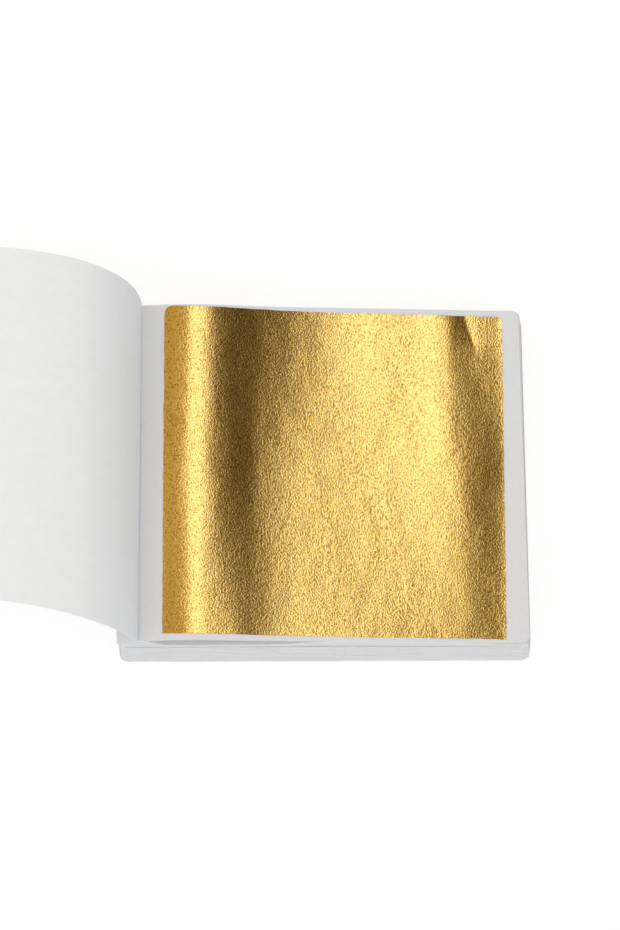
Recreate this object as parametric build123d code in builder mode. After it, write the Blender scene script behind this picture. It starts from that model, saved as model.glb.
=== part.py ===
import os
from math import atan2, cos, degrees, radians, sin

from build123d import *

os.makedirs("parts", exist_ok=True)

# Booklet of gold leaf, millimetres. X runs from the bound spine to the fore edge,
# Y along the spine, Z up. The origin is the middle of the back cover's underside.

# Gold leaves: square sheets, one on each page.
leaf_side = 80.0
leaf_thickness = 0.02
top_leaf_turn = -0.7

# Paper left bare around a leaf: the bound strip from the spine to the crease, then from
# the crease to the leaf, and at the fore edge, the near edge and the far edge.
binding_margin = 6.0
gutter_margin = 5.5
fore_margin = 4.9
near_margin = 1.9
far_margin = 1.5

# Sheets. Pages and covers are one size. The width runs from spine to fore edge.
page_width = binding_margin + gutter_margin + leaf_side + fore_margin
page_depth = near_margin + leaf_side + far_margin
page_corner = 2.0
page_thickness = 0.15
cover_thickness = 0.2
back_cover_thickness = 0.5

# Flat lower pages, in bundles. The air above each page holds its leaf.
bundle_count = 8
pages_per_bundle = 4
page_air = 0.12

# Loose pages between the flat block and the top page. They stand up at the crease,
# lie down again beside it, and part from the block at the fore edge. The two lifts are
# those of the top page above the flat block.
loose_page_count = 6
loose_page_air = 0.08
fore_edge_slit = 0.5
spine_lift = 3.06
crease_lift = 5.16
top_page_gap = 0.265
loose_wave_shares = [0.08, 0.3, 0.6]
mid_lift_share = 0.84

# Top page: a low hump beside the crease, then a slow fall. The hump's place is a share
# of the free length, its height a share of the drop from crease to fore edge.
hump_place_share = 0.2
hump_height_share = 0.27

# Turned front cover, a sheet that curls over to the left. It is twelve flat bands
# along eleven fold lines. The first lines slant, so the far end stands steeper.
crease_angle = 93.0
fold_shares = [0.05, 0.1, 0.155, 0.22, 0.29, 0.365, 0.445, 0.54, 0.64, 0.75, 0.87]
fold_slant_shares = [0.028, 0.05, 0.055, 0.047, 0.031, 0.016, 0.016, 0.012, 0.008, 0.0, 0.0]
fold_angles = [13.0, 10.0, 8.0, 8.0, 11.0, 14.0, 15.0, 12.0, 8.0, 5.0, 3.0]

# Clearances: at the page's crease, at the cover's, between neighbouring bands, between
# sheets that lie on each other, and under the open leaf, which lifts off its curved page.
# The cover turns on a line a little nearer the spine, to stand clear of a raised page.
crease_clearance = 0.15
cover_crease_offset = 0.3
cover_crease_clearance = 0.3
cover_root_clearance = 0.7
fold_clearance = 0.2
sheet_clearance = 0.04
top_leaf_clearance = 0.12

# Two staples of flat wire through the binding margin, their ends bent inwards underneath.
wire_width = 0.5
wire_thickness = 0.4
staple_crown = 12.0
staple_spacing = 42.0
staple_inset = 3.0
staple_clinch = 4.5
staple_bend = 0.5
leg_clearance = 0.08
clinch_depth = 0.02
cut_overrun = 1.0

spine_x = -page_width / 2
crease_x = spine_x + binding_margin
free_length = page_width - binding_margin
leaf_x = crease_x + gutter_margin + leaf_side / 2
leaf_y = -page_depth / 2 + near_margin + leaf_side / 2
page_pitch = page_thickness + page_air
loose_pitch = page_thickness + loose_page_air
block_top = back_cover_thickness + bundle_count * pages_per_bundle * page_pitch
loose_pile = page_air + loose_page_count * loose_pitch - loose_page_air + fore_edge_slit
spine_height = block_top + spine_lift
crease_height = block_top + crease_lift
fore_edge_height = block_top + loose_pile + top_page_gap + page_thickness / 2
staple_x = spine_x + staple_inset
leg_places = [
    (staple_x, side * staple_spacing / 2 + leg * (staple_crown - wire_thickness) / 2)
    for side in (-1, 1)
    for leg in (-1, 1)
]
hole_width = wire_width + 2 * leg_clearance
hole_length = wire_thickness + 2 * leg_clearance

# Back cover: one plain sheet of card. The bent ends of the staples lie in slots in
# its underside, so that the booklet rests on the card.
with BuildPart() as back_cover:
    with BuildSketch():
        RectangleRounded(page_width, page_depth, page_corner)
    extrude(amount=back_cover_thickness)
    with BuildSketch():
        with Locations(*[(staple_x, side * staple_spacing / 2) for side in (-1, 1)]):
            Rectangle(hole_width, staple_crown + 2 * leg_clearance)
    extrude(amount=wire_thickness + 2 * clinch_depth, mode=Mode.SUBTRACT)
    with BuildSketch():
        with Locations(*leg_places):
            Rectangle(hole_width, hole_length)
    extrude(amount=back_cover_thickness + cut_overrun, mode=Mode.SUBTRACT)
back_cover.part.label = "back_cover"
export_step(back_cover.part, "parts/back_cover.step")

# Flat block: every page is its own sheet, punched by the four staple legs, with one
# gold leaf on it.
for bundle in range(bundle_count):
    bundle_base = back_cover_thickness + bundle * pages_per_bundle * page_pitch
    with BuildPart() as page_bundle:
        for page in range(pages_per_bundle):
            with BuildSketch(Plane.XY.offset(bundle_base + page * page_pitch)):
                RectangleRounded(page_width, page_depth, page_corner)
                with Locations(*leg_places):
                    Rectangle(hole_width, hole_length, mode=Mode.SUBTRACT)
            extrude(amount=page_thickness)
    page_bundle.part.label = f"page_bundle_{bundle + 1}"
    export_step(page_bundle.part, f"parts/page_bundle_{bundle + 1}.step")

    with BuildPart() as leaf_bundle:
        for page in range(pages_per_bundle):
            leaf_base = bundle_base + page * page_pitch + page_thickness
            with BuildSketch(Plane.XY.offset(leaf_base)):
                with Locations((leaf_x, leaf_y)):
                    Rectangle(leaf_side, leaf_side)
            extrude(amount=leaf_thickness)
    leaf_bundle.part.label = f"gold_leaf_bundle_{bundle + 1}"
    export_step(leaf_bundle.part, f"parts/gold_leaf_bundle_{bundle + 1}.step")


# Underside of loose page number `page`, counted from 1 at the bottom, as points in XZ.
# At the binding and halfway across, the pages share the height up to the top page.
def loose_page_points(page):
    rise_share = page / (loose_page_count + 1)
    lying = block_top + (page - 1) * loose_pitch + page_air
    mid = block_top + rise_share * mid_lift_share * (crease_height - block_top)
    down, still, up = loose_wave_shares
    return [
        (spine_x, block_top + rise_share * (spine_height - block_top)),
        (crease_x, block_top + rise_share * (crease_height - block_top)),
        (crease_x + down * free_length, lying),
        (crease_x + still * free_length, lying),
        (crease_x + up * free_length, mid),
        (page_width / 2, lying + fore_edge_slit),
    ]


# The same points, raised.
def raised(points, rise):
    return [(x, z + rise) for x, z in points]


# Halfway between two points.
def between(start, end):
    return ((start[0] + end[0]) / 2, (start[1] + end[1]) / 2)


level = (1, 0)

# Loose pages: wavy sheets, fanned out where they are bound.
with BuildPart() as loose_pages:
    for page in range(1, loose_page_count + 1):
        under = loose_page_points(page)
        over = raised(under, page_thickness)
        with BuildSketch(Plane.XZ):
            with BuildLine():
                for side in (under, over):
                    Line(side[0], side[1])
                    Line(side[2], side[3])
                    for start, end in ((side[1], side[2]), (side[3], side[4]), (side[4], side[5])):
                        bend = TangentArc(start, between(start, end), tangent=level)
                        TangentArc(bend @ 1, end, tangent=bend % 1)
                Line(under[0], over[0])
                Line(under[-1], over[-1])
            make_face()
        extrude(amount=page_depth / 2, both=True)
    with BuildSketch():
        RectangleRounded(page_width, page_depth, page_corner)
        with Locations(*leg_places):
            Rectangle(hole_width, hole_length, mode=Mode.SUBTRACT)
    extrude(amount=crease_height + cut_overrun, mode=Mode.INTERSECT)
loose_pages.part.label = "loose_pages"
export_step(loose_pages.part, "parts/loose_pages.step")

# Their gold leaves follow the same waves.
with BuildPart() as loose_gold_leaves:
    for page in range(1, loose_page_count + 1):
        leaf_gap = (loose_page_air - leaf_thickness) / 2
        under = raised(loose_page_points(page), page_thickness + leaf_gap)
        over = raised(under, leaf_thickness)
        with BuildSketch(Plane.XZ):
            with BuildLine():
                for side in (under, over):
                    Line(side[2], side[3])
                    for start, end in ((side[1], side[2]), (side[3], side[4]), (side[4], side[5])):
                        bend = TangentArc(start, between(start, end), tangent=level)
                        TangentArc(bend @ 1, end, tangent=bend % 1)
                Line(under[1], over[1])
                Line(under[-1], over[-1])
            make_face()
        extrude(amount=page_depth / 2, both=True)
    with BuildSketch():
        with Locations((leaf_x, leaf_y)):
            Rectangle(leaf_side, leaf_side)
    extrude(amount=crease_height + cut_overrun, mode=Mode.INTERSECT)
loose_gold_leaves.part.label = "loose_gold_leaves"
export_step(loose_gold_leaves.part, "parts/loose_gold_leaves.step")


# Bound margin of a sheet: a flat strip that climbs from the spine to the crease.
def margin_outline(rise, thickness, end_clearance):
    slope = (crease_height - spine_height) / binding_margin
    end_x = crease_x - end_clearance
    end_z = crease_height - slope * end_clearance
    return [
        (spine_x, spine_height + rise),
        (end_x, end_z + rise),
        (end_x, end_z + rise + thickness),
        (spine_x, spine_height + rise + thickness),
    ]


page_margin_rise = -page_thickness / 2
cover_margin_rise = page_thickness / 2 + sheet_clearance

# Bound strip of the top page, held by the staples.
with BuildPart() as top_page_margin:
    with BuildSketch(Plane.XZ):
        with BuildLine():
            Polyline(*margin_outline(page_margin_rise, page_thickness, crease_clearance), close=True)
        make_face()
    extrude(amount=page_depth / 2, both=True)
    with BuildSketch():
        RectangleRounded(page_width, page_depth, page_corner)
        with Locations(*leg_places):
            Rectangle(hole_width, hole_length, mode=Mode.SUBTRACT)
    extrude(amount=crease_height + cut_overrun, mode=Mode.INTERSECT)
top_page_margin.part.label = "top_page_margin"
export_step(top_page_margin.part, "parts/top_page_margin.step")

# Bound strip of the front cover, on top of it.
with BuildPart() as front_cover_margin:
    with BuildSketch(Plane.XZ):
        with BuildLine():
            Polyline(
                *margin_outline(
                    cover_margin_rise, cover_thickness, cover_crease_offset + cover_crease_clearance
                ),
                close=True,
            )
        make_face()
    extrude(amount=page_depth / 2, both=True)
    with BuildSketch():
        RectangleRounded(page_width, page_depth, page_corner)
        with Locations(*leg_places):
            Rectangle(hole_width, hole_length, mode=Mode.SUBTRACT)
    extrude(amount=crease_height + cut_overrun, mode=Mode.INTERSECT)
front_cover_margin.part.label = "front_cover_margin"
export_step(front_cover_margin.part, "parts/front_cover_margin.step")

# Top page, which turns about the crease. Points of its middle: crease, hump, fore edge.
page_fall = crease_height - fore_edge_height
top_page_points = [
    (crease_x, crease_height),
    (crease_x + hump_place_share * free_length, crease_height + hump_height_share * page_fall),
    (page_width / 2, fore_edge_height),
]

with BuildPart() as top_page:
    with BuildSketch(Plane.XZ):
        with BuildLine():
            under = raised(top_page_points, -page_thickness / 2)
            over = raised(top_page_points, page_thickness / 2)
            for root, hump, edge in (under, over):
                bend = TangentArc(root, between(root, hump), tangent=level)
                TangentArc(bend @ 1, hump, tangent=bend % 1)
                TangentArc(hump, edge, tangent=level)
            Line(under[0], over[0])
            Line(under[-1], over[-1])
        make_face()
    extrude(amount=page_depth / 2, both=True)
    with BuildSketch():
        RectangleRounded(page_width, page_depth, page_corner)
        with Locations((crease_x + crease_clearance - page_width / 2, 0)):
            Rectangle(page_width, page_depth + cut_overrun, mode=Mode.SUBTRACT)
    extrude(amount=crease_height + page_fall + cut_overrun, mode=Mode.INTERSECT)
top_page.part.label = "top_page"
export_step(top_page.part, "parts/top_page.step")

# The gold leaf that lies open on the top page, turned slightly on it.
with BuildPart() as top_gold_leaf:
    leaf_rise = page_thickness / 2 + top_leaf_clearance
    with BuildSketch(Plane.XZ):
        with BuildLine():
            under = raised(top_page_points, leaf_rise)
            over = raised(top_page_points, leaf_rise + leaf_thickness)
            for root, hump, edge in (under, over):
                bend = TangentArc(root, between(root, hump), tangent=level)
                TangentArc(bend @ 1, hump, tangent=bend % 1)
                TangentArc(hump, edge, tangent=level)
            Line(under[0], over[0])
            Line(under[-1], over[-1])
        make_face()
    extrude(amount=page_depth / 2, both=True)
    with BuildSketch():
        with Locations((leaf_x, leaf_y)):
            Rectangle(leaf_side, leaf_side, rotation=top_leaf_turn)
    extrude(amount=crease_height + page_fall + cut_overrun, mode=Mode.INTERSECT)
top_gold_leaf.part.label = "top_gold_leaf"
export_step(top_gold_leaf.part, "parts/top_gold_leaf.step")

# Front cover. Flat, it is a rectangle measured from the crease. Each fold line is named
# by where it meets the near and the far edge, and each band lies in its own plane.
cover_axis_height = crease_height + page_thickness / 2 + sheet_clearance + cover_thickness / 2
band_plane = Plane(
    origin=(crease_x - cover_crease_offset, 0, cover_axis_height),
    x_dir=(cos(radians(crease_angle)), 0, sin(radians(crease_angle))),
    z_dir=(-sin(radians(crease_angle)), 0, cos(radians(crease_angle))),
)
near_folds = [0] + [(s - d) * free_length for s, d in zip(fold_shares, fold_slant_shares)]
far_folds = [0] + [(s + d) * free_length for s, d in zip(fold_shares, fold_slant_shares)]
near_folds.append(free_length + cover_crease_offset)
far_folds.append(free_length + cover_crease_offset)
band_count = len(fold_shares) + 1

for band in range(band_count):
    first, last = band == 0, band == band_count - 1
    start_gap = cover_root_clearance if first else fold_clearance / 2
    end_gap = 0 if last else fold_clearance / 2
    with BuildPart() as cover_band:
        with BuildSketch(band_plane) as band_sketch:
            with BuildLine():
                Polyline(
                    (near_folds[band] + start_gap, -page_depth / 2),
                    (near_folds[band + 1] - end_gap, -page_depth / 2),
                    (far_folds[band + 1] - end_gap, page_depth / 2),
                    (far_folds[band] + start_gap, page_depth / 2),
                    close=True,
                )
            make_face()
            if last:
                fillet(band_sketch.vertices().group_by(Axis.X)[-1], radius=page_corner)
        extrude(amount=cover_thickness / 2, both=True)
    cover_band.part.label = f"front_cover_band_{band + 1}"
    export_step(cover_band.part, f"parts/front_cover_band_{band + 1}.step")
    if not last:
        slant = degrees(atan2(2 * fold_slant_shares[band] * free_length, page_depth))
        fold_middle = fold_shares[band] * free_length
        fold_turn = (
            Location((fold_middle, 0, 0), (0, 0, -slant))
            * Location((0, 0, 0), (0, -fold_angles[band], 0))
            * Location((0, 0, 0), (0, 0, slant))
            * Location((-fold_middle, 0, 0))
        )
        band_plane = Plane(band_plane.location * fold_turn)

# Staples: flat wire, its crown across the cover's bound strip and its ends bent inwards
# inside the slots of the back cover.
crown_height = (
    spine_height
    + (crease_height - spine_height) * (staple_inset + wire_width / 2) / binding_margin
    + cover_margin_rise
    + cover_thickness
    + sheet_clearance
    + wire_thickness / 2
)
foot_height = wire_thickness / 2 + clinch_depth
with BuildPart() as staples:
    for side in (-1, 1):
        middle = side * staple_spacing / 2
        leg = (staple_crown - wire_thickness) / 2
        with BuildLine(Plane.YZ.offset(staple_x)) as wire_path:
            FilletPolyline(
                (middle - leg + staple_clinch, foot_height),
                (middle - leg, foot_height),
                (middle - leg, crown_height),
                (middle + leg, crown_height),
                (middle + leg, foot_height),
                (middle + leg - staple_clinch, foot_height),
                radius=staple_bend,
            )
        with BuildSketch(Plane(origin=wire_path.line @ 0, x_dir=(1, 0, 0), z_dir=wire_path.line % 0)):
            Rectangle(wire_width, wire_thickness)
        sweep(path=wire_path.line)
staples.part.label = "staples"
export_step(staples.part, "parts/staples.step")
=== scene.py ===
import math
import random

import bmesh
import bpy
from mathutils import Matrix, Vector, noise


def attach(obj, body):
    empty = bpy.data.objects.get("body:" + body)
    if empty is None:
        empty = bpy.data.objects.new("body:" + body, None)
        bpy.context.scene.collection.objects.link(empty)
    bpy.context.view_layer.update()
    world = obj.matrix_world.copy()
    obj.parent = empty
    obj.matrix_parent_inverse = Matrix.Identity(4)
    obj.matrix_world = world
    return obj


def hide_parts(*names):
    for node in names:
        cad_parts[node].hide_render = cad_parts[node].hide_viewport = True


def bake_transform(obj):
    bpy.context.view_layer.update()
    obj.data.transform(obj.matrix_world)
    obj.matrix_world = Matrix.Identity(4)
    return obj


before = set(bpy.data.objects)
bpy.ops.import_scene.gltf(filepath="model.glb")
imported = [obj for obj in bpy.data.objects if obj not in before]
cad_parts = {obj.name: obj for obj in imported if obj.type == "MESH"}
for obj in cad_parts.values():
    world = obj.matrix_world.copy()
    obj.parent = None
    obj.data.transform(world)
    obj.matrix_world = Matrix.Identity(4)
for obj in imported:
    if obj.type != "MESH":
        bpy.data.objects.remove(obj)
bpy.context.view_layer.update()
print("frame loaded")

# Gold leaf booklet, opened at its first leaf. Sizes are written in millimetres and
# turned into metres by mm. X runs from spine to fore edge, Y away from the viewer.
mm = 0.001
random.seed(7)

booklet = {
    "pageWidth": 96.4,
    "pageDepth": 83.4,
    "pageCorner": 2.0,
    "bindingMargin": 6.0,
    "spineHeight": 12.2,
    "creaseHeight": 14.3,
    "foreEdgeHeight": 11.4,
    "blockTop": 9.14,
}
spineX = -booklet["pageWidth"] / 2
creaseX = spineX + booklet["bindingMargin"]
foreX = booklet["pageWidth"] / 2
halfDepth = booklet["pageDepth"] / 2


def mix(a, b, share):
    return a + (b - a) * share


def ease(t):
    t = max(0.0, min(1.0, t))
    return t * t * (3 - 2 * t)


# Colours and shader nodes.


def linear(hexColour):
    channels = [int(hexColour[i:i + 2], 16) / 255 for i in (1, 3, 5)]
    return [c / 12.92 if c <= 0.04045 else ((c + 0.055) / 1.055) ** 2.4 for c in channels] + [1.0]


# Adds a node. Settings and links name its properties or inputs, or give an input's number.
def addNode(tree, kind, settings=None, links=None):
    node = tree.nodes.new(kind)
    for key, value in (settings or {}).items():
        if key == "stops":
            ramp = node.color_ramp
            while len(ramp.elements) < len(value):
                ramp.elements.new(0.5)
            for element, (place, colour) in zip(ramp.elements, value):
                element.position = place
                element.color = colour
        elif isinstance(key, int) or key in node.inputs:
            node.inputs[key].default_value = value
        else:
            setattr(node, key, value)
    for key, source in (links or {}).items():
        tree.links.new(source, node.inputs[key])
    return node


def noiseNode(tree, where, size, detail, roughness=0.5):
    settings = {"Scale": 1 / (size * mm), "Detail": detail, "Roughness": roughness}
    return addNode(tree, "ShaderNodeTexNoise", settings, {"Vector": where})


# Runs from a dark to a light colour while a noise goes from one value to another.
def toneNode(tree, noiseFac, dark, light, darkAt=0.3, lightAt=0.7):
    stops = [(darkAt, linear(dark)), (lightAt, linear(light))]
    return addNode(tree, "ShaderNodeValToRGB", {"stops": stops}, {"Fac": noiseFac})


# Goes smoothly from nought to one while a value goes from start to end.
def easeNode(tree, value, start, end):
    settings = {"interpolation_type": "SMOOTHSTEP", "From Min": start, "From Max": end}
    return addNode(tree, "ShaderNodeMapRange", settings, {"Value": value})


# A bump of a height in millimetres, on top of another where one is given.
def bumpNode(tree, height, source, strength=1.0, under=None):
    links = {"Height": source}
    if under:
        links["Normal"] = under
    return addNode(tree, "ShaderNodeBump", {"Strength": strength, "Distance": height * mm}, links)


def newMaterial(name):
    material = bpy.data.materials.new(name)
    material.use_nodes = True
    tree = material.node_tree
    shader = tree.nodes["Principled BSDF"]
    where = addNode(tree, "ShaderNodeTexCoord").outputs["Object"]
    return material, tree, shader, where


# How much of the paper's mottle is fibre, and how high its fibres stand in millimetres.
fibreShare = 0.6
fibreHeight = 0.05


# Uncoated wood-free paper: matte, faintly mottled by its fibres, with rare dark flecks.
def paperMaterial(name, look):
    material, tree, shader, where = newMaterial(name)
    cloud = noiseNode(tree, where, look["cloudSize"], 3.0)
    fibre = noiseNode(tree, where, look["fibreSize"], 4.0, 0.6)
    both = addNode(
        tree, "ShaderNodeMix", {"data_type": "FLOAT", "Factor": fibreShare},
        {"A": cloud.outputs["Fac"], "B": fibre.outputs["Fac"]},
    )
    tone = toneNode(tree, both.outputs["Result"], look["dark"], look["light"])
    fleckPlace = addNode(
        tree, "ShaderNodeTexVoronoi", {"Scale": 1 / (look["fleckSpacing"] * mm)}, {"Vector": where}
    )
    reach = look["fleckSize"] / look["fleckSpacing"]
    fleck = addNode(
        tree, "ShaderNodeMapRange", {"From Min": reach, "From Max": 0.0, "To Max": look["fleckStrength"]},
        {"Value": fleckPlace.outputs["Distance"]},
    )
    colour = addNode(
        tree, "ShaderNodeMix", {"data_type": "RGBA", 7: linear(look["fleck"])},
        {"Factor": fleck.outputs["Result"], 6: tone.outputs["Color"]},
    )
    # Painted shade: the paper is coloured a little darker and cooler towards the crease, where the steep
    # curl turns away from the light.
    if "paintedCreaseShade" in look:  # a little darker and cooler towards the crease
        across = addNode(tree, "ShaderNodeSeparateXYZ", links={"Vector": where})
        near = easeNode(tree, across.outputs["X"], (creaseX - look["paintedShadeReach"]) * mm, creaseX * mm)
        colour = addNode(
            tree, "ShaderNodeMix", {"data_type": "RGBA", "blend_type": "MULTIPLY", 7: linear(look["paintedCreaseShade"])},
            {"Factor": near.outputs["Result"], 6: colour.outputs[2]},
        )
    tree.links.new(colour.outputs[2], shader.inputs["Base Color"])
    bump = bumpNode(tree, fibreHeight, fibre.outputs["Fac"], look["bump"])
    tree.links.new(bump.outputs["Normal"], shader.inputs["Normal"])
    shader.inputs["Roughness"].default_value = look["roughness"]
    shader.inputs["Specular IOR Level"].default_value = look["specular"]
    return material


coverLook = {
    "light": "#F3F4F6", "dark": "#ECEEF0", "fleck": "#8F8C84",
    "cloudSize": 3.0, "fibreSize": 0.45, "fleckSpacing": 16.0, "fleckSize": 0.16, "fleckStrength": 0.8,
    "bump": 0.25, "roughness": 0.85, "specular": 0.2,
}
# The cover paper carries painted shade towards the crease.
coverPaper = paperMaterial("coverPaper", dict(coverLook, paintedCreaseShade="#EFF2F7", paintedShadeReach=15.0))
# The same paper painted darker for the bound margin: painted shade, where the curled cover overhangs it.
shadedMarginPaper = paperMaterial("coverPaperPaintedShade", dict(coverLook, light="#E4E4E3", dark="#DDDDDC"))
pageTissue = paperMaterial("pageTissue", {
    "light": "#E2E3E5", "dark": "#DADBDD", "fleck": "#9A978F",
    "cloudSize": 1.2, "fibreSize": 0.35, "fleckSpacing": 19.0, "fleckSize": 0.14, "fleckStrength": 0.6,
    "bump": 0.25, "roughness": 0.9, "specular": 0.2,
})

# Beaten metal leaf on tissue: a mirror-like foil whose fine grain breaks its reflections
# up into sparks, brightest where it faces the lamp. Heights and sizes are in millimetres.
goldLook = {
    "colour": "#FADE90",
    # painted shade: the grain's hollows are coloured darker, down to this colour
    "pitShade": "#C69A48",
    "pitShadeEnd": 0.5,
    "roughness": 0.15,
    "grainSize": 0.4,
    "grainLength": 1.25,  # the grain is a little longer along the spine
    "grainHeight": 0.018,
    "wrinkleSize": 1.6,
    "wrinkleHeight": 0.013,
}


def goldMaterial(look):
    material, tree, shader, where = newMaterial("beatenGoldLeaf")
    stretch = (1, 1 / look["grainLength"], 1)
    stretched = addNode(tree, "ShaderNodeMapping", {"Scale": stretch}, {"Vector": where})
    along = stretched.outputs["Vector"]
    grain = noiseNode(tree, along, look["grainSize"], 2.0)
    wrinkle = noiseNode(tree, along, look["wrinkleSize"], 3.0)
    # Painted shade: where the grain's bump is low, its colour runs down to the darker one.
    tone = toneNode(tree, grain.outputs["Fac"], look["pitShade"], look["colour"], lightAt=look["pitShadeEnd"])
    tree.links.new(tone.outputs["Color"], shader.inputs["Base Color"])
    coarse = bumpNode(tree, look["wrinkleHeight"], wrinkle.outputs["Fac"])
    fine = bumpNode(tree, look["grainHeight"], grain.outputs["Fac"], under=coarse.outputs["Normal"])
    tree.links.new(fine.outputs["Normal"], shader.inputs["Normal"])
    shader.inputs["Metallic"].default_value = 1.0
    shader.inputs["Roughness"].default_value = look["roughness"]
    return material


goldLeaf = goldMaterial(goldLook)


# Galvanised steel wire, drawn flat, with a fine uneven skin.
wireLook = {
    "light": "#C6C8CA", "dark": "#A9ABAD",
    "grainSize": 0.15, "grainHeight": 0.02, "bump": 0.2, "roughness": 0.35,
}


def wireMaterial(look):
    material, tree, shader, where = newMaterial("drawnSteelWire")
    grain = noiseNode(tree, where, look["grainSize"], 2.0)
    tone = toneNode(tree, grain.outputs["Fac"], look["dark"], look["light"])
    tree.links.new(tone.outputs["Color"], shader.inputs["Base Color"])
    bump = bumpNode(tree, look["grainHeight"], grain.outputs["Fac"], look["bump"])
    tree.links.new(bump.outputs["Normal"], shader.inputs["Normal"])
    shader.inputs["Metallic"].default_value = 1.0
    shader.inputs["Roughness"].default_value = look["roughness"]
    return material


steelWire = wireMaterial(wireLook)
print("materials made")


# Sheets.


# A grid of quads whose points are put in place by a function of two shares.
def gridSheet(rows, columns, place):
    bm = bmesh.new()
    bmesh.ops.create_grid(bm, x_segments=rows, y_segments=columns, size=0.5)
    for vert in bm.verts:
        vert.co = place(vert.co.x + 0.5, vert.co.y + 0.5)
    return bm


# Gives a sheet its thickness, half to each side, and makes an object of it.
def finishSheet(bm, name, thickness, material):
    bm.normal_update()
    for vert in bm.verts:
        vert.co += vert.normal * thickness / 2 * mm
    bmesh.ops.solidify(bm, geom=bm.faces[:], thickness=thickness * mm)
    return finishPiece(bm, name, material)


# Adds a closed slab. Its points are put in place by a function of three shares.
def addSlab(bm, rows, columns, place):
    grid = bmesh.ops.create_grid(bm, x_segments=rows, y_segments=columns, size=0.5)["verts"]
    faces = list({face for vert in grid for face in vert.link_faces})
    walls = bmesh.ops.solidify(bm, geom=faces, thickness=1.0)["geom"]
    points = set(grid) | {part for part in walls if isinstance(part, bmesh.types.BMVert)}
    for vert in points:
        vert.co = place(vert.co.x + 0.5, vert.co.y + 0.5, round(abs(vert.co.z)))


sharpAngle = 40.0  # degrees, past which an edge isn't shaded smooth


def finishPiece(bm, name, material):
    bmesh.ops.recalc_face_normals(bm, faces=bm.faces)
    mesh = bpy.data.meshes.new(name)
    bm.to_mesh(mesh)
    bm.free()
    mesh.shade_smooth()
    mesh.set_sharp_from_angle(angle=math.radians(sharpAngle))
    mesh.materials.append(material)
    piece = bpy.data.objects.new(name, mesh)
    bpy.context.scene.collection.objects.link(piece)
    return piece


# Columns of a sheet lie closer together towards its two ends, where the corners are round.
def acrossDepth(share):
    return halfDepth * math.sin((share - 0.5) * math.pi)


# The same as a share of a depth, for edges that aren't quite square.
def depthShare(share):
    return (math.sin((share - 0.5) * math.pi) + 1) / 2


# How far a round corner pulls the fore edge back at this place along it.
def cornerPull(y):
    radius = booklet["pageCorner"]
    past = abs(y) - (halfDepth - radius)
    if past <= 0:
        return 0.0
    return radius - math.sqrt(max(0.0, radius * radius - past * past))


# How far back along the depth of the page a place lies, from nought near to one far.
def farShare(y):
    return (y + halfDepth) / (2 * halfDepth)


# Turned front cover.

cover = {
    "axisX": creaseX - 0.3,
    "marginEdge": -47.3,
    "axisZ": booklet["creaseHeight"] + 0.215,
    "length": 90.7,
    "shareLength": 90.4,
    "thickness": 0.2,
    "openAngle": 93.0,
    "foldShares": [0.05, 0.1, 0.155, 0.22, 0.29, 0.365, 0.445, 0.54, 0.64, 0.75, 0.87],
    "slantShares": [0.028, 0.05, 0.055, 0.047, 0.031, 0.016, 0.016, 0.012, 0.008, 0.0, 0.0],
    "foldAngles": [13.0, 10.0, 8.0, 8.0, 11.0, 14.0, 15.0, 12.0, 8.0, 5.0, 3.0],
    "stepsPerFold": 10,
    "rowSpacing": 0.45,
    "columns": 44,
    # the sheet isn't cut quite square: how far its edges stand out, and over what length
    "farSpill": 1.3,
    "farSpillReach": 44.0,
    "nearSpill": 0.65,
    "nearSpillGrown": 4.0,
    "nearSpillFades": 20.0,
    "nearSpillGone": 60.0,
    # its crease runs a little to the right towards the far edge, and is rolled over
    "creaseDrift": 0.15,
    "creaseDriftReach": 38.0,
    "rollWidth": 0.04,
    "rollLength": 0.9,
    "marginRows": 30,
    "fewestRows": 6,
    # how far a strip's blend runs on past its ends, in lengths of the strip
    "firstBlendShare": 0.48,
    "blendShare": 0.94,
}

# Each fold crosses the flat sheet from a place on its near edge to one on its far edge.
coverFolds = [
    ((s - d) * cover["shareLength"], (s + d) * cover["shareLength"])
    for s, d in zip(cover["foldShares"], cover["slantShares"])
]
# The seams between pieces lie midway between the folds.
coverSeams = [(0.0, 0.0)]
coverSeams += [((a[0] + b[0]) / 2, (a[1] + b[1]) / 2) for a, b in zip(coverFolds, coverFolds[1:])]
lastSeam = (2 * coverFolds[-1][0] - coverSeams[-1][0], 2 * coverFolds[-1][1] - coverSeams[-1][1])
coverSeams.append(lastSeam)


def alongLine(line, y):
    return mix(line[0], line[1], farShare(y))


# The paper bends by many small folds, spread evenly from seam to seam. Each entry is
# a small fold's line on the flat sheet and the movement of the sheet beyond it.
def coverBends():
    start = Matrix.Translation((cover["axisX"], 0, cover["axisZ"]))
    movement = start @ Matrix.Rotation(math.radians(-cover["openAngle"]), 4, "Y")
    bends = [(coverSeams[0], movement)]
    steps = cover["stepsPerFold"]
    for number, angle in enumerate(cover["foldAngles"]):
        first, last = coverSeams[number], coverSeams[number + 1]
        for step in range(steps):
            share = (step + 0.5) / steps
            line = (mix(first[0], last[0], share), mix(first[1], last[1], share))
            near = movement @ Vector((line[0], -halfDepth, 0))
            far = movement @ Vector((line[1], halfDepth, 0))
            turn = Matrix.Rotation(math.radians(angle / steps), 4, near - far)
            movement = Matrix.Translation(near) @ turn @ Matrix.Translation(-near) @ movement
            bends.append((line, movement))
    return bends


bends = coverBends()


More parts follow.
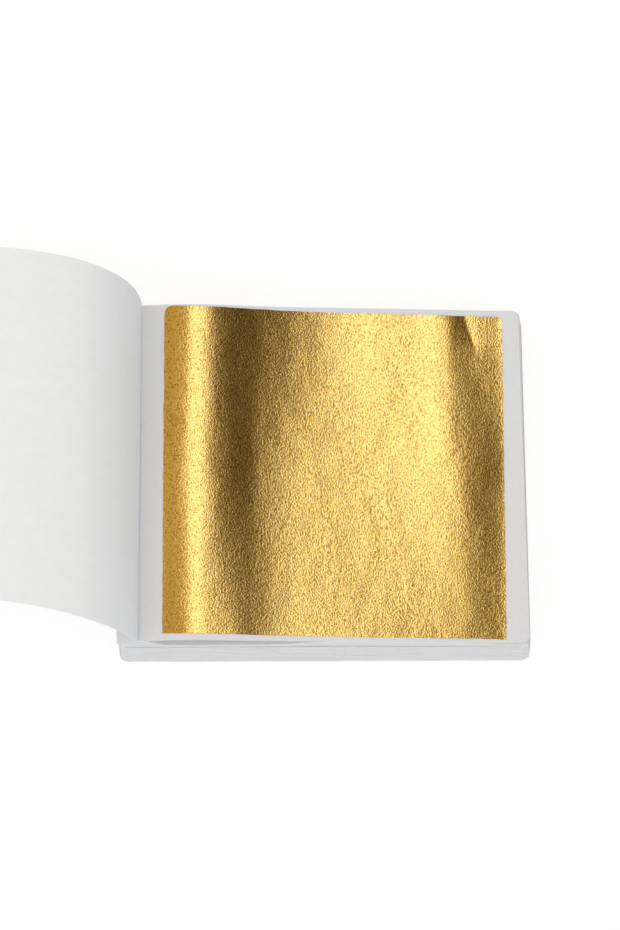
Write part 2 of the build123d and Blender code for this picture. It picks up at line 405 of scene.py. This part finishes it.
# Place in space of a point of the flat cover, s from the crease and y along it.
def coverPoint(s, y):
    beyond = 0
    while beyond + 1 < len(bends) and alongLine(bends[beyond + 1][0], y) < s:
        beyond += 1
    far = farShare(y)
    spill = far ** 3 * cover["farSpill"] * (1 - ease(s / cover["farSpillReach"]))
    fading = (s - cover["nearSpillFades"]) / (cover["nearSpillGone"] - cover["nearSpillFades"])
    nearFade = ease(s / cover["nearSpillGrown"]) * (1 - ease(fading))
    spill -= (1 - far) ** 3 * cover["nearSpill"] * nearFade
    point = bends[beyond][1] @ Vector((s, y, 0)) + Vector((0, spill, 0))
    point.x += far * far * cover["creaseDrift"] * (1 - ease(s / cover["creaseDriftReach"]))
    point.x += cover["rollWidth"] * (1 - ease(s / cover["rollLength"]))
    return point * mm


# The bound margin and the crease: a strip that climbs from the spine, then turns up.
def coverRootPoint(u, v):
    y = acrossDepth(v)
    s = mix(cover["marginEdge"] - cover["axisX"], 0.0, u)
    rise = (booklet["creaseHeight"] - booklet["spineHeight"]) / booklet["bindingMargin"]
    return Vector((cover["axisX"] + s, y, cover["axisZ"] + s * rise)) * mm


rootSheet = gridSheet(cover["marginRows"], cover["columns"], coverRootPoint)
# The margin gets the paper with painted shade, for the shade under the curled cover.
rootPiece = finishSheet(rootSheet, "frontCoverMargin", cover["thickness"], shadedMarginPaper)
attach(rootPiece, "booklet")
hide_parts("front_cover_margin")

for number in range(len(coverFolds)):
    first, last = coverSeams[number], coverSeams[number + 1]
    isLast = number == len(coverFolds) - 1

    def stripPoint(u, v):
        y = acrossDepth(v)
        end = cover["length"] - cornerPull(y) if isLast else alongLine(last, y)
        return coverPoint(mix(alongLine(first, y), end, u), y)

    width = (cover["length"] if isLast else sum(last) / 2) - sum(first) / 2
    rows = max(cover["fewestRows"], round(width / cover["rowSpacing"]))
    strip = gridSheet(rows, cover["columns"], stripPoint)
    name = f"frontCoverStrip{number + 1}"
    piece = finishSheet(strip, name, cover["thickness"], coverPaper)
    begin = coverPoint(sum(first) / 2 + 0.001, 0)
    finish = coverPoint(sum(last) / 2, 0)
    if number:
        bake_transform(piece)
    else:
        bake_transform(piece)
    nodes = [f"front_cover_band_{number + 1}"]
    if isLast:
        nodes.append(f"front_cover_band_{number + 2}")
    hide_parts(*nodes)
print("front cover made")

# Relief of the open page and its leaf.

# Slopes of the open page in degrees, up to the right, at places from the crease to the
# fore edge: along its far edge, its middle and its near edge. They were chosen
# from where the gold is light and dark in the photograph, for the made-up studio at the
# end of this file. Neither the page's true heights nor its tilt can be seen there.
pageRelief = {
    "places": [
        -42.2, -38.0, -35.0, -32.0, -30.0, -27.0, -24.0, -20.5, -17.0, -14.0, -11.0, -6.0,
        -1.0, 4.0, 11.0, 19.0, 27.0, 30.0, 32.2, 35.0, 39.0, 43.6, 48.2,
    ],
    "far": [
        5.0, 4.0, 2.8, 1.3, -1.2, -3.4, -5.6, -6.9, -6.9, -6.2, -5.2, -4.1,
        -3.2, -2.2, -0.5, -1.1, -0.1, -1.0, -3.3, -2.0, -0.9, -0.4, 0.5,
    ],
    "middle": [
        5.5, 4.2, 2.6, 0.8, -1.1, -2.8, -4.6, -5.8, -5.3, -3.6, -2.9, -2.2,
        -1.9, -1.6, -0.6, -0.1, 0.2, -0.1, -0.2, -1.7, -2.3, -1.9, -3.0,
    ],
    "near": [
        3.0, 3.5, 3.9, 2.4, 0.2, -2.4, -2.5, -2.8, -3.6, -3.3, -2.1, -1.0,
        -1.0, -1.1, -1.0, -0.4, -0.3, -0.4, -0.4, -0.9, -0.8, -0.2, -10.0,
    ],
    # a fold near the far right corner: its line, what it adds to the slope on both sides
    # of the line, over what width, and how soon it is full along the line
    "foldFar": (34.3, 41.5),
    "foldNear": (37.6, 28.0),
    "foldBefore": -2.2,
    "foldAfter": 2.0,
    "foldReach": 2.2,
    "foldGrowth": 1.8,
    # soft waves and fine cockles of the paper: their height, their size, and a share that
    # draws them out along the spine. They are full at calmReach from the crease.
    "wander": 0.04,
    "wanderSize": 15.0,
    "wanderStretch": 0.45,
    "cockle": 0.012,
    "cockleSize": 4.5,
    "cockleStretch": 0.6,
    "calmReach": 10.0,
}


def pageSlope(x, y):
    places = pageRelief["places"]
    k = 0
    while k + 2 < len(places) and places[k + 1] < x:
        k += 1
    share = (x - places[k]) / (places[k + 1] - places[k])
    far = farShare(y)
    first, second = ("near", "middle") if far < 0.5 else ("middle", "far")
    across = far * 2 if far < 0.5 else far * 2 - 1
    rows = [mix(pageRelief[row][k], pageRelief[row][k + 1], share) for row in (first, second)]
    slope = mix(rows[0], rows[1], across)
    # the fold near the far right corner: steeper before its line, flatter past it
    foldY = pageRelief["foldNear"][1]
    if y > foldY:
        along = (y - foldY) / (pageRelief["foldFar"][1] - foldY)
        lineX = mix(pageRelief["foldNear"][0], pageRelief["foldFar"][0], along)
        side = pageRelief["foldBefore"] if x < lineX else pageRelief["foldAfter"]
        share = ease(along * pageRelief["foldGrowth"])
        slope += side * share * math.exp(-abs(x - lineX) / pageRelief["foldReach"])
    return math.tan(math.radians(slope))


reliefStep = 0.4
reliefRows = 160


# Heights summed up from the slopes, row by row, and tilted to end at the fore edge.
def pageProfiles():
    profiles = []
    for row in range(reliefRows + 1):
        y = mix(-halfDepth, halfDepth, row / reliefRows)
        count = int((foreX - creaseX) / reliefStep) + 1
        heights = [booklet["creaseHeight"]]
        for k in range(count):
            heights.append(heights[-1] + pageSlope(creaseX + (k + 0.5) * reliefStep, y) * reliefStep)
        miss = heights[-1] - booklet["foreEdgeHeight"]
        span = len(heights) - 1
        profiles.append([h - miss * k / span for k, h in enumerate(heights)])
    return profiles


profiles = pageProfiles()


# Height of the open page's middle at a place on it.
def pageHeight(x, y):
    across = max(0.0, (x - creaseX) / reliefStep)
    along = max(0.0, min(0.9999, farShare(y))) * reliefRows
    k = min(int(across), len(profiles[0]) - 2)
    j = int(along)
    low = mix(profiles[j][k], profiles[j][k + 1], across - k)
    high = mix(profiles[j + 1][k], profiles[j + 1][k + 1], across - k)
    height = mix(low, high, along - j)
    away = ease((x - creaseX) / pageRelief["calmReach"])
    soft = Vector((x, y * pageRelief["wanderStretch"], 3.0)) / pageRelief["wanderSize"]
    fine = Vector((x, y * pageRelief["cockleStretch"], 9.0)) / pageRelief["cockleSize"]
    height += away * pageRelief["wander"] * noise.noise(soft)
    height += away * pageRelief["cockle"] * noise.noise(fine)
    return height


# Top page: its bound margin, the crease and the open part in one sheet.

topPage = {
    "thickness": 0.15,
    "rows": 190,
    "columns": 90,
    "spine": -47.4,
    "fore": (48.05, 47.5),
    "nearEdge": (-41.45, -41.75),
    "farEdge": (42.3, 41.65),
    "squareReach": 46.0,
    "bendBefore": 0.3,
    "bendAfter": 0.5,
}


# The page isn't quite square: places of its near and far edge at a place across it.
def pageEdges(x):
    fall = ease(x / topPage["squareReach"])
    return mix(*topPage["nearEdge"], fall), mix(*topPage["farEdge"], fall)


def topPagePoint(u, v):
    pull = cornerPull(acrossDepth(v))
    x = mix(topPage["spine"] + pull, mix(*topPage["fore"], v) - pull, u)
    near, far = pageEdges(x)
    y = mix(near, far, depthShare(v))
    if x < creaseX:
        rise = (booklet["creaseHeight"] - booklet["spineHeight"]) / booklet["bindingMargin"]
        return Vector((x, y, booklet["creaseHeight"] + (x - creaseX) * rise)) * mm
    return Vector((x, y, pageHeight(x, y))) * mm


pageSheet = gridSheet(topPage["rows"], topPage["columns"], topPagePoint)
pagePiece = finishSheet(pageSheet, "openPage", topPage["thickness"], pageTissue)
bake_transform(pagePiece)
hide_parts("top_page", "top_page_margin")
print("open page made")

# Open gold leaf.

openLeaf = {
    "side": 80.0,
    "nearLeft": (-36.8, -39.75),
    "nearRight": (42.6, -40.9),
    "farRight": (43.6, 39.95),
    "farLeft": (-36.75, 42.0),
    "thickness": 0.02,
    "above": 0.16,
    "edgeLift": 0.02,
    "edgeWobble": 0.12,
    "wobbleSize": 2.5,
    "rimWidth": 0.8,
    "rows": 200,
    "columns": 200,
    "farLeftCorner": 2.2,
    "farRightCorner": 1.3,
}


# Rounds a corner of the leaf: shares of its two sides are pulled in near the corner.
def roundCorner(a, b, radius):
    over = (radius - a, radius - b)
    if over[0] <= 0 or over[1] <= 0:
        return a, b
    reach = math.hypot(*over)
    scale = max(over) / reach if reach else 1.0
    return radius - over[0] * scale, radius - over[1] * scale


def leafPoint(u, v):
    side = openLeaf["side"]
    a, b = u * side, (1 - v) * side
    if u < 0.5:
        a, b = roundCorner(a, b, openLeaf["farLeftCorner"])
    else:
        a, b = roundCorner(side - a, b, openLeaf["farRightCorner"])
        a = side - a
    u, v = a / side, 1 - b / side
    near = [mix(p, q, u) for p, q in zip(openLeaf["nearLeft"], openLeaf["nearRight"])]
    far = [mix(p, q, u) for p, q in zip(openLeaf["farLeft"], openLeaf["farRight"])]
    x, y = mix(near[0], far[0], v), mix(near[1], far[1], v)
    edge = min(u, 1 - u, v, 1 - v)
    rim = math.exp(-edge * side / openLeaf["rimWidth"])
    x += openLeaf["edgeWobble"] * rim * noise.noise(Vector((x, y, 5.0)) / openLeaf["wobbleSize"])
    y += openLeaf["edgeWobble"] * rim * noise.noise(Vector((x, y, 8.0)) / openLeaf["wobbleSize"])
    return Vector((x, y, pageHeight(x, y) + openLeaf["above"] + openLeaf["edgeLift"] * rim)) * mm


leafSheet = gridSheet(openLeaf["rows"], openLeaf["columns"], leafPoint)
leafPiece = finishSheet(leafSheet, "openGoldLeaf", openLeaf["thickness"], goldLeaf)
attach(leafPiece, "gold_leaf")
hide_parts("top_gold_leaf")
print("open leaf made")

# Back cover: the card with its staple slots, trimmed at the spine.

backCard = paperMaterial("backCard", {
    "light": "#E4E4E2", "dark": "#D8D8D5", "fleck": "#8E8A80",
    "cloudSize": 2.2, "fibreSize": 0.4, "fleckSpacing": 9.0, "fleckSize": 0.16, "fleckStrength": 0.6,
    "bump": 0.3, "roughness": 0.85, "specular": 0.25,
})
backCover = {"rim": 2.1, "spineTrim": 0.95, "foreSpill": 0.35, "nearSpill": 0.25, "weld": 0.001}
bm = bmesh.new()
bm.from_mesh(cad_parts["back_cover"].data)
bmesh.ops.remove_doubles(bm, verts=bm.verts, dist=backCover["weld"] * mm)
for vert in bm.verts:
    if vert.co.x < (spineX + backCover["rim"]) * mm:
        vert.co.x += backCover["spineTrim"] * mm
    elif vert.co.x > (foreX - backCover["rim"]) * mm:
        vert.co.x += backCover["foreSpill"] * mm
    if vert.co.y < (-halfDepth + backCover["rim"]) * mm:
        vert.co.y -= backCover["nearSpill"] * mm
piece = finishPiece(bm, "backCover", backCard)
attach(piece, "booklet")
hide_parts("back_cover")
print("back cover made")

# Flat block: every page a sheet of its own, cut a little out of line.

block = {
    "base": 0.5,
    "bundles": 8,
    "pagesPerBundle": 4,
    "pitch": 0.27,
    "thickness": 0.15,
    "fullness": 0.09,  # soft pages fill most of the air below them
    "spine": -47.25,
    "fore": (48.75, 48.3),
    "nearLeft": -42.15,
    "nearRight": -42.4,
    "nearBack": 0.75,
    "far": 41.7,
    "stagger": 0.07,
    "wave": 0.1,
    "waveSize": 9.0,
    "waveStep": 0.35,
    "rows": 60,
    "columns": 16,
}


# One page of the block. Higher pages lie a little further back, as in a pressed stack.
def blockPage(bm, number, low, high):
    height = number / (block["bundles"] * block["pagesPerBundle"] - 1)
    shift = [random.uniform(-1, 1) * block["stagger"] for _ in range(4)]
    fore = mix(*block["fore"], height) + shift[0]
    spine = block["spine"] + shift[1]

    def place(u, v, w):
        pull = cornerPull(acrossDepth(v))
        x = mix(spine + pull, fore - pull, u)
        near = mix(block["nearLeft"], block["nearRight"], u) + block["nearBack"] * height + shift[2]
        near += block["wave"] * noise.noise(Vector((x / block["waveSize"], number * block["waveStep"], 2.0)))
        y = mix(near, block["far"] + shift[3], depthShare(v))
        return Vector((x, y, mix(low, high, w))) * mm

    addSlab(bm, block["rows"], block["columns"], place)


for bundle in range(block["bundles"]):
    bm = bmesh.new()
    for page in range(block["pagesPerBundle"]):
        number = bundle * block["pagesPerBundle"] + page
        bottom = block["base"] + number * block["pitch"]
        fullness = block["fullness"] if number else 0
        blockPage(bm, number, bottom - fullness, bottom + block["thickness"])
    piece = finishPiece(bm, f"pageBundle{bundle + 1}", pageTissue)
    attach(piece, "booklet")
    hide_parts(f"page_bundle_{bundle + 1}")
print("block made")

# Loose pages between the block and the open page, fanned out where they are bound.

loose = {
    "count": 6,
    "pitch": 0.23,
    "air": 0.12,
    "slit": 0.5,
    "waves": (0.08, 0.3, 0.6),
    "midLift": 0.84,
    "fullness": 0.82,
    "clearance": 0.14,
    "stagger": 0.06,
    "spine": -47.3,
    "fore": 47.95,
    "near": (-41.3, -41.75),
    "far": 41.7,
    "leafGap": 0.012,
    "leafThickness": 0.01,
    "leafEdges": (-36.7, 43.3, -39.8, 40.2),
    "rows": 130,
    "columns": 40,
}


# Underside of a loose page at a place across it, before the open page presses on it.
def looseLift(number, x):
    rise = number / (loose["count"] + 1)
    top = booklet["blockTop"]
    lying = top + (number - 1) * loose["pitch"] + loose["air"]
    mid = top + rise * loose["midLift"] * (booklet["creaseHeight"] - top)
    bound = top + rise * (booklet["creaseHeight"] - top)
    edge = top + rise * (booklet["spineHeight"] - top)
    if x < creaseX:
        return mix(edge, bound, (x - spineX) / booklet["bindingMargin"])
    share = (x - creaseX) / (foreX - creaseX)
    down, still, up = loose["waves"]
    if share < down:
        return mix(bound, lying, ease(share / down))
    if share < still:
        return lying
    if share < up:
        return mix(lying, mid, ease((share - still) / (up - still)))
    return mix(mid, lying + loose["slit"], ease((share - up) / (1 - up)))


# The same, pressed down where the open page lies lower. Number 7 is where a next would be.
def looseHeight(number, x, y):
    top = booklet["blockTop"]
    room = pageHeight(x, y) - loose["clearance"] - top if x > creaseX else math.inf
    squeeze = min(1.0, room / (looseLift(loose["count"] + 1, x) - top))
    return top + (looseLift(number, x) - top) * squeeze


def loosePage(bm, number):
    shift = [random.uniform(-1, 1) * loose["stagger"] for _ in range(3)]

    def place(u, v, w):
        pull = cornerPull(acrossDepth(v))
        x = mix(loose["spine"] + pull + shift[0], loose["fore"] - pull + shift[1], u)
        near = mix(*loose["near"], ease(x / topPage["squareReach"])) + shift[2]
        y = mix(near, loose["far"], depthShare(v))
        low, high = looseHeight(number, x, y), looseHeight(number + 1, x, y)
        return Vector((x, y, mix(low, mix(low, high, loose["fullness"]), w))) * mm

    addSlab(bm, loose["rows"], loose["columns"], place)


def looseLeaf(bm, number):
    left, right, near, far = loose["leafEdges"]

    def place(u, v, w):
        x, y = mix(left, right, u), mix(near, far, v)
        low, high = looseHeight(number, x, y), looseHeight(number + 1, x, y)
        height = mix(low, high, loose["fullness"]) + loose["leafGap"] + loose["leafThickness"] * w
        return Vector((x, y, height)) * mm

    addSlab(bm, loose["rows"], loose["columns"], place)


bm = bmesh.new()
for number in range(1, loose["count"] + 1):
    loosePage(bm, number)
piece = finishPiece(bm, "loosePages", pageTissue)
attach(piece, "booklet")
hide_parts("loose_pages")
bm = bmesh.new()
for number in range(1, loose["count"] + 1):
    looseLeaf(bm, number)
piece = finishPiece(bm, "looseGoldLeaves", goldLeaf)
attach(piece, "booklet")
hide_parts("loose_gold_leaves")
print("loose pages made")

# Staples and inner leaves, shown as the solids are.

finishes = {"gold_leaf_bundle": goldLeaf, "staples": steelWire}
for name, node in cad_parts.items():
    for start, material in finishes.items():
        if name.startswith(start):
            node.data.materials.clear()
            node.data.materials.append(material)
print("carried-over nodes finished")

# Floor, light and camera.

studio = {
    "floor": "#F7F7F7",
    "floorHalf": 3.0,
    "floorSeen": (0.3, 0.3, 0.3, 1.0),
    "floorGlow": 0.76,
    "wall": 0.7,
    "wallToRight": -0.06,
    "wallToBack": -0.48,
    "top": 1.34,
    "topFrom": 0.25,
    "topTo": 0.8,
    "panelSlope": -0.8,
    "panelEdge": (25.0, 33.0),
    "panelLeft": (0.46, 0.32, 0.11, 1.0),
    "panelRight": (0.03, 0.012, 0.0, 1.0),
    "panelTurn": (-0.02, 0.22),
    "boxStrength": 1.85,
    "boxSize": (0.24, 2.4),
    "boxSlope": -0.7,
    "boxDistance": 3.0,
}

floorMesh = bmesh.new()
bmesh.ops.create_grid(floorMesh, x_segments=1, y_segments=1, size=studio["floorHalf"])
floorData = bpy.data.meshes.new("floor")
floorMesh.to_mesh(floorData)
floorMesh.free()
floor = bpy.data.objects.new("floor", floorData)
bpy.context.scene.collection.objects.link(floor)


# One where the camera, a gloss or a glass looks, and nought for all other light.
def lookRays(tree):
    rays = addNode(tree, "ShaderNodeLightPath").outputs
    larger = {"operation": "MAXIMUM"}
    first = addNode(tree, "ShaderNodeMath", larger, {0: rays["Is Camera Ray"], 1: rays["Is Glossy Ray"]})
    both = addNode(tree, "ShaderNodeMath", larger, {0: first.outputs[0], 1: rays["Is Transmission Ray"]})
    return both.outputs[0]


# Pale floor. It looks white, and still shows the object's shadow.
floorMaterial = bpy.data.materials.new("paleFloor")
floorMaterial.use_nodes = True
tree = floorMaterial.node_tree
tree.nodes.clear()
lit = addNode(tree, "ShaderNodeBsdfDiffuse", {"Color": linear(studio["floor"])})
glow = addNode(tree, "ShaderNodeEmission", {"Color": (1, 1, 1, 1), "Strength": studio["floorGlow"]})
dimLit = addNode(tree, "ShaderNodeBsdfDiffuse", {"Color": studio["floorSeen"]})
bright = addNode(tree, "ShaderNodeAddShader", {}, {0: dimLit.outputs[0], 1: glow.outputs[0]})
either = addNode(
    tree, "ShaderNodeMixShader", {}, {0: lookRays(tree), 1: lit.outputs[0], 2: bright.outputs[0]}
)
addNode(tree, "ShaderNodeOutputMaterial", {}, {"Surface": either.outputs[0]})
floorData.materials.append(floorMaterial)

# The camera that was fitted to the photograph.
view = {
    "elevation": 69.484,
    "azimuth": -0.885,
    "roll": 0.486,
    "distance": 869.73,
    "target": (-2.444, 3.137, 10.0),
    "lens": 142.97,
    "clip": (0.05, 20.0),
}
up, around = math.radians(view["elevation"]), math.radians(view["azimuth"])
back = Vector((math.sin(around) * math.cos(up), -math.cos(around) * math.cos(up), math.sin(up)))


# The direction in which a leaf of a given slope mirrors the camera.
def mirrored(slope):
    lean = math.radians(slope)
    normal = Vector((-math.sin(lean), 0, math.cos(lean)))
    return 2 * normal.dot(back) * normal - back


# A white room with one brown panel overhead, and in it a long softbox.
world = bpy.data.worlds.new("studio")
bpy.context.scene.world = world
world.use_nodes = True
tree = world.node_tree
tree.nodes.clear()
toward = addNode(tree, "ShaderNodeTexCoord").outputs["Generated"]
axes = addNode(tree, "ShaderNodeSeparateXYZ", links={"Vector": toward})
toRight = addNode(
    tree, "ShaderNodeMath",
    {"operation": "MULTIPLY_ADD", 1: studio["wallToRight"], 2: studio["wall"]}, {0: axes.outputs["X"]},
)
walls = addNode(
    tree, "ShaderNodeMath", {"operation": "MULTIPLY_ADD", 1: studio["wallToBack"]},
    {0: axes.outputs["Y"], 2: toRight.outputs[0]},
)
height = easeNode(tree, axes.outputs["Z"], studio["topFrom"], studio["topTo"])
room = addNode(
    tree, "ShaderNodeMix", {"data_type": "FLOAT", "B": studio["top"]},
    {"Factor": height.outputs["Result"], "A": walls.outputs[0]},
)
panelAxis = mirrored(studio["panelSlope"])
facing = addNode(tree, "ShaderNodeVectorMath", {"operation": "DOT_PRODUCT", 1: panelAxis}, {0: toward})
panelInner, panelOuter = [math.cos(math.radians(edge)) for edge in studio["panelEdge"]]
panel = easeNode(tree, facing.outputs["Value"], panelOuter, panelInner)
turn = easeNode(tree, axes.outputs["X"], *studio["panelTurn"])
panelColour = addNode(
    tree, "ShaderNodeMix", {"data_type": "RGBA", 6: studio["panelLeft"], 7: studio["panelRight"]},
    {"Factor": turn.outputs["Result"]},
)
grey = room.outputs["Result"]
roomColour = addNode(tree, "ShaderNodeCombineXYZ", links={0: grey, 1: grey, 2: grey})
seen = addNode(
    tree, "ShaderNodeMix", {"data_type": "RGBA", 7: (1, 1, 1, 1)},
    {"Factor": lookRays(tree), 6: roomColour.outputs[0]},
)
both = addNode(
    tree, "ShaderNodeMix", {"data_type": "RGBA"},
    {"Factor": panel.outputs["Result"], 6: seen.outputs[2], 7: panelColour.outputs[2]},
)
light = addNode(tree, "ShaderNodeBackground", {"Strength": 1.0}, {"Color": both.outputs[2]})
addNode(tree, "ShaderNodeOutputWorld", {}, {"Surface": light.outputs[0]})

# The view of the photograph.
right = Vector((math.cos(around), math.sin(around), 0))
above = right.cross(-back)
roll = math.radians(view["roll"])
turnedRight = math.cos(roll) * right + math.sin(roll) * above
turnedUp = -math.sin(roll) * right + math.cos(roll) * above
camera = bpy.data.objects.new("camera", bpy.data.cameras.new("camera"))
camera.data.lens = view["lens"]
camera.data.clip_start, camera.data.clip_end = view["clip"]
place = (Vector(view["target"]) + back * view["distance"]) * mm
camera.matrix_world = Matrix((turnedRight, turnedUp, back)).transposed().to_4x4()
camera.matrix_world.translation = place
bpy.context.scene.collection.objects.link(camera)
bpy.context.scene.camera = camera

softDirection = mirrored(studio["boxSlope"])
lamp = bpy.data.lights.new("softbox", "AREA")
lamp.shape = "RECTANGLE"
lamp.size, lamp.size_y = studio["boxSize"]
lamp.energy = studio["boxStrength"] * math.pi * lamp.size * lamp.size_y
softbox = bpy.data.objects.new("softbox", lamp)
softbox.location = softDirection * studio["boxDistance"]
softbox.rotation_mode = "QUATERNION"
softbox.rotation_quaternion = softDirection.to_track_quat("Z", "Y")
bpy.context.scene.collection.objects.link(softbox)

bpy.context.scene.view_settings.view_transform = "Standard"
print("studio made")
